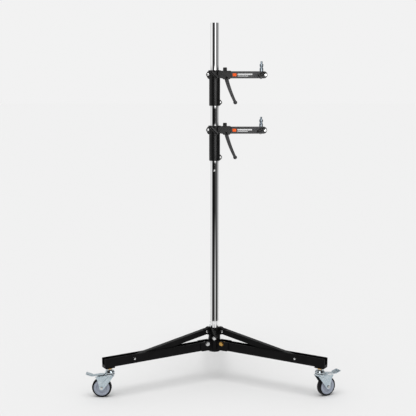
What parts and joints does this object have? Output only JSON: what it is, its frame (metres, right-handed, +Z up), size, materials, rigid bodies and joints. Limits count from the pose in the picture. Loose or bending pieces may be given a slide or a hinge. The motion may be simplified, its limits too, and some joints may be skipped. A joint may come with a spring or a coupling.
{
  "type": "rolling column stand",
  "caption": "Tall chrome column on a folding three-leg base with braked casters, carrying two sliding side arms with spindle studs for lamps and grip gear.",
  "frame": {"origin": "on the floor, under the middle of the bounding box at rest; the column axis stands 2.5 mm towards +X and 158.8 mm towards -Y from it", "axes": "+Z up along the column, +X the way the two side arms point, +Y the way the rear leg points"},
  "size_m": [1.0482, 0.8684, 1.524],
  "materials": {
    "chrome": "polished chrome plate",
    "black_paint": "satin black powder coat",
    "arm_grey": "satin dark grey coat",
    "black_plastic": "moulded black plastic",
    "zinc": "bright zinc plate",
    "steel": "bright plated steel",
    "wheel_grey": "moulded grey plastic",
    "tyre": "thermoplastic rubber tread",
    "nylon": "black nylon bush",
    "brass": "yellow passivated washer",
    "label_accent": "printed orange label",
    "label_pale": "printed pale label"
  },
  "bodies": {
    "column": {"column_tube": "chrome", "column_cap": "black_plastic", "hub": "black_paint", "leg_bolt_left": "steel", "leg_bolt_right": "steel", "leg_bolt_rear": "steel"},
    "stop_button": {"stop_button": "steel"},
    "collar": {"collar": "black_paint", "collar_pin_left": "steel", "collar_pin_right": "steel", "collar_pin_rear": "steel"},
    "collar_knob": {"collar_knob": "black_plastic"},
    "leg_left": {"leg_left": "black_paint", "strut_pin_left": "steel", "caster_stem_left": "steel"},
    "strut_left": {"strut_left": "black_paint"},
    "caster_left": {"caster_fork_left": "zinc"},
    "brake_pedal_left": {"brake_pedal_left": "zinc"},
    "wheel_left": {"wheel_left": "wheel_grey", "tyre_left": "tyre"},
    "leg_right": {"leg_right": "black_paint", "strut_pin_right": "steel", "caster_stem_right": "steel"},
    "strut_right": {"strut_right": "black_paint"},
    "caster_right": {"caster_fork_right": "zinc"},
    "brake_pedal_right": {"brake_pedal_right": "zinc"},
    "wheel_right": {"wheel_right": "wheel_grey", "tyre_right": "tyre"},
    "leg_rear": {"leg_rear": "black_paint", "strut_pin_rear": "steel", "caster_stem_rear": "steel"},
    "strut_rear": {"strut_rear": "black_paint"},
    "caster_rear": {"caster_fork_rear": "zinc"},
    "brake_pedal_rear": {"brake_pedal_rear": "zinc"},
    "wheel_rear": {"wheel_rear": "wheel_grey", "tyre_rear": "tyre"},
    "upper_liner": {"upper_liner": "nylon"},
    "upper_arm": {"upper_sleeve": "black_paint", "upper_bar": "arm_grey", "upper_top_axle": "steel", "upper_low_axle": "steel"},
    "upper_top_roller": {"upper_top_roller": "black_plastic"},
    "upper_low_roller": {"upper_low_roller": "black_plastic"},
    "upper_lever": {"upper_lever": "arm_grey"},
    "upper_adjuster": {"upper_adjuster": "black_plastic"},
    "upper_sleeve_knob": {"upper_sleeve_knob": "black_plastic"},
    "upper_tip_knob": {"upper_tip_knob": "black_plastic"},
    "upper_stud": {"upper_stud": "chrome"},
    "lower_liner": {"lower_liner": "nylon"},
    "lower_arm": {"lower_sleeve": "black_paint", "lower_bar": "arm_grey", "lower_top_axle": "steel", "lower_low_axle": "steel"},
    "lower_top_roller": {"lower_top_roller": "black_plastic"},
    "lower_low_roller": {"lower_low_roller": "black_plastic"},
    "lower_lever": {"lower_lever": "arm_grey"},
    "lower_adjuster": {"lower_adjuster": "black_plastic"},
    "lower_sleeve_knob": {"lower_sleeve_knob": "black_plastic"},
    "lower_tip_knob": {"lower_tip_knob": "black_plastic"},
    "lower_stud": {"lower_stud": "chrome"}
  },
  "joints": [
    {"name": "stop_button_press", "type": "slide", "parent": "column", "child": "stop_button", "axis": [0, 1, 0], "range_m": [0, 0.0035], "stiffness_N_per_m": 300},
    {"name": "leg_fold_left", "type": "hinge", "parent": "column", "child": "leg_left", "pos_m": [-0.03734, -0.18181, 0.162], "axis": [-0.5, 0.866, 0], "range_deg": [0, 90.8]},
    {"name": "strut_fold_left", "type": "hinge", "parent": "leg_left", "child": "strut_left", "pos_m": [-0.3351, -0.35373, 0.1472], "axis": [-0.5, 0.866, 0], "range_deg": [-167.82, 0]},
    {"name": "caster_swivel_left", "type": "hinge", "parent": "leg_left", "child": "caster_left", "pos_m": [-0.42705, -0.40681, 0.11], "axis": [0, 0, 1], "continuous": true},
    {"name": "wheel_spin_left", "type": "hinge", "parent": "caster_left", "child": "wheel_left", "pos_m": [-0.46005, -0.40681, 0.04], "axis": [0, -1, 0], "continuous": true},
    {"name": "brake_pedal_lift_left", "type": "hinge", "parent": "caster_left", "child": "brake_pedal_left", "pos_m": [-0.45305, -0.40681, 0.0947], "axis": [0, 1, 0], "range_deg": [0, 14]},
    {"name": "leg_fold_right", "type": "hinge", "parent": "column", "child": "leg_right", "pos_m": [0.04233, -0.18181, 0.162], "axis": [-0.5, -0.866, 0], "range_deg": [0, 90.8]},
    {"name": "strut_fold_right", "type": "hinge", "parent": "leg_right", "child": "strut_right", "pos_m": [0.3401, -0.35373, 0.1472], "axis": [-0.5, -0.866, 0], "range_deg": [-167.82, 0]},
    {"name": "caster_swivel_right", "type": "hinge", "parent": "leg_right", "child": "caster_right", "pos_m": [0.43205, -0.40681, 0.11], "axis": [0, 0, 1], "continuous": true},
    {"name": "wheel_spin_right", "type": "hinge", "parent": "caster_right", "child": "wheel_right", "pos_m": [0.46063, -0.39031, 0.04], "axis": [-0.5, 0.866, 0], "continuous": true},
    {"name": "brake_pedal_lift_right", "type": "hinge", "parent": "caster_right", "child": "brake_pedal_right", "pos_m": [0.45456, -0.39381, 0.0947], "axis": [0.5, -0.866, 0], "range_deg": [0, 14]},
    {"name": "leg_fold_rear", "type": "hinge", "parent": "column", "child": "leg_rear", "pos_m": [0.0025, -0.11281, 0.162], "axis": [1, 0, 0], "range_deg": [0, 90.8]},
    {"name": "strut_fold_rear", "type": "hinge", "parent": "leg_rear", "child": "strut_rear", "pos_m": [0.0025, 0.23101, 0.1472], "axis": [1, 0, 0], "range_deg": [-167.82, 0]},
    {"name": "caster_swivel_rear", "type": "hinge", "parent": "leg_rear", "child": "caster_rear", "pos_m": [0.0025, 0.33719, 0.11], "axis": [0, 0, 1], "continuous": true},
    {"name": "wheel_spin_rear", "type": "hinge", "parent": "caster_rear", "child": "wheel_rear", "pos_m": [0.0025, 0.37019, 0.04], "axis": [-1, 0, 0], "continuous": true},
    {"name": "brake_pedal_lift_rear", "type": "hinge", "parent": "caster_rear", "child": "brake_pedal_rear", "pos_m": [0.0025, 0.36319, 0.0947], "axis": [1, 0, 0], "range_deg": [0, 14]},
    {"name": "collar_slide", "type": "slide", "parent": "column", "child": "collar", "axis": [0, 0, 1], "range_m": [0, 0.644]},
    {"name": "collar_knob_turn", "type": "hinge", "parent": "collar", "child": "collar_knob", "pos_m": [0.0025, -0.19881, 0.212], "axis": [0, -1, 0], "range_deg": [0, 360]},
    {"name": "upper_slide", "type": "slide", "parent": "column", "child": "upper_liner", "axis": [0, 0, 1], "range_m": [-0.04, 0.18]},
    {"name": "upper_turn", "type": "hinge", "parent": "upper_liner", "child": "upper_arm", "pos_m": [0.0025, -0.15881, 1.31], "axis": [0, 0, 1], "continuous": true},
    {"name": "upper_top_roller_spin", "type": "hinge", "parent": "upper_arm", "child": "upper_top_roller", "pos_m": [-0.0245, -0.15881, 1.311], "axis": [0, 1, 0], "continuous": true},
    {"name": "upper_low_roller_spin", "type": "hinge", "parent": "upper_arm", "child": "upper_low_roller", "pos_m": [0.0273, -0.15881, 1.195], "axis": [0, 1, 0], "continuous": true},
    {"name": "upper_lever_squeeze", "type": "hinge", "parent": "upper_arm", "child": "upper_lever", "pos_m": [0.0525, -0.15881, 1.294], "axis": [0, 1, 0], "range_deg": [0, 18], "stiffness_Nm_per_rad": 0.6},
    {"name": "upper_adjuster_turn", "type": "hinge", "parent": "upper_arm", "child": "upper_adjuster", "pos_m": [0.046, -0.15881, 1.33], "axis": [0, 0, 1], "range_deg": [-360, 360]},
    {"name": "upper_sleeve_knob_turn", "type": "hinge", "parent": "upper_arm", "child": "upper_sleeve_knob", "pos_m": [0.0025, -0.19881, 1.31], "axis": [0, -1, 0], "range_deg": [0, 360]},
    {"name": "upper_tip_knob_turn", "type": "hinge", "parent": "upper_arm", "child": "upper_tip_knob", "pos_m": [0.1985, -0.17881, 1.312], "axis": [0, -1, 0], "range_deg": [0, 360]},
    {"name": "upper_stud_turn", "type": "hinge", "parent": "upper_arm", "child": "upper_stud", "pos_m": [0.1985, -0.15881, 1.32], "axis": [0, 0, 1], "continuous": true},
    {"name": "lower_slide", "type": "slide", "parent": "column", "child": "lower_liner", "axis": [0, 0, 1], "range_m": [-0.035, 0.035]},
    {"name": "lower_turn", "type": "hinge", "parent": "lower_liner", "child": "lower_arm", "pos_m": [0.0025, -0.15881, 1.079], "axis": [0, 0, 1], "continuous": true},
    {"name": "lower_top_roller_spin", "type": "hinge", "parent": "lower_arm", "child": "lower_top_roller", "pos_m": [-0.0245, -0.15881, 1.08], "axis": [0, 1, 0], "continuous": true},
    {"name": "lower_low_roller_spin", "type": "hinge", "parent": "lower_arm", "child": "lower_low_roller", "pos_m": [0.0273, -0.15881, 0.964], "axis": [0, 1, 0], "continuous": true},
    {"name": "lower_lever_squeeze", "type": "hinge", "parent": "lower_arm", "child": "lower_lever", "pos_m": [0.0525, -0.15881, 1.063], "axis": [0, 1, 0], "range_deg": [0, 18], "stiffness_Nm_per_rad": 0.6},
    {"name": "lower_adjuster_turn", "type": "hinge", "parent": "lower_arm", "child": "lower_adjuster", "pos_m": [0.046, -0.15881, 1.099], "axis": [0, 0, 1], "range_deg": [-360, 360]},
    {"name": "lower_sleeve_knob_turn", "type": "hinge", "parent": "lower_arm", "child": "lower_sleeve_knob", "pos_m": [0.0025, -0.19881, 1.079], "axis": [0, -1, 0], "range_deg": [0, 360]},
    {"name": "lower_tip_knob_turn", "type": "hinge", "parent": "lower_arm", "child": "lower_tip_knob", "pos_m": [0.1985, -0.17881, 1.081], "axis": [0, -1, 0], "range_deg": [0, 360]},
    {"name": "lower_stud_turn", "type": "hinge", "parent": "lower_arm", "child": "lower_stud", "pos_m": [0.1985, -0.15881, 1.089], "axis": [0, 0, 1], "continuous": true}
  ],
  "couplings": [
    {"joint": "strut_fold_left", "follows": "leg_fold_left", "ratio": -1.8482},
    {"joint": "strut_fold_right", "follows": "leg_fold_left", "ratio": -1.8482},
    {"joint": "leg_fold_right", "follows": "leg_fold_left", "ratio": 1},
    {"joint": "strut_fold_rear", "follows": "leg_fold_left", "ratio": -1.8482},
    {"joint": "leg_fold_rear", "follows": "leg_fold_left", "ratio": 1},
    {"joint": "collar_slide", "follows": "leg_fold_left", "m_per_rad": 0.40636},
    {"joint": "upper_top_roller_spin", "follows": "upper_slide", "rad_per_m": 109.89},
    {"joint": "upper_low_roller_spin", "follows": "upper_slide", "rad_per_m": -144.93},
    {"joint": "lower_top_roller_spin", "follows": "lower_slide", "rad_per_m": 109.89},
    {"joint": "lower_low_roller_spin", "follows": "lower_slide", "rad_per_m": -144.93}
  ]
}
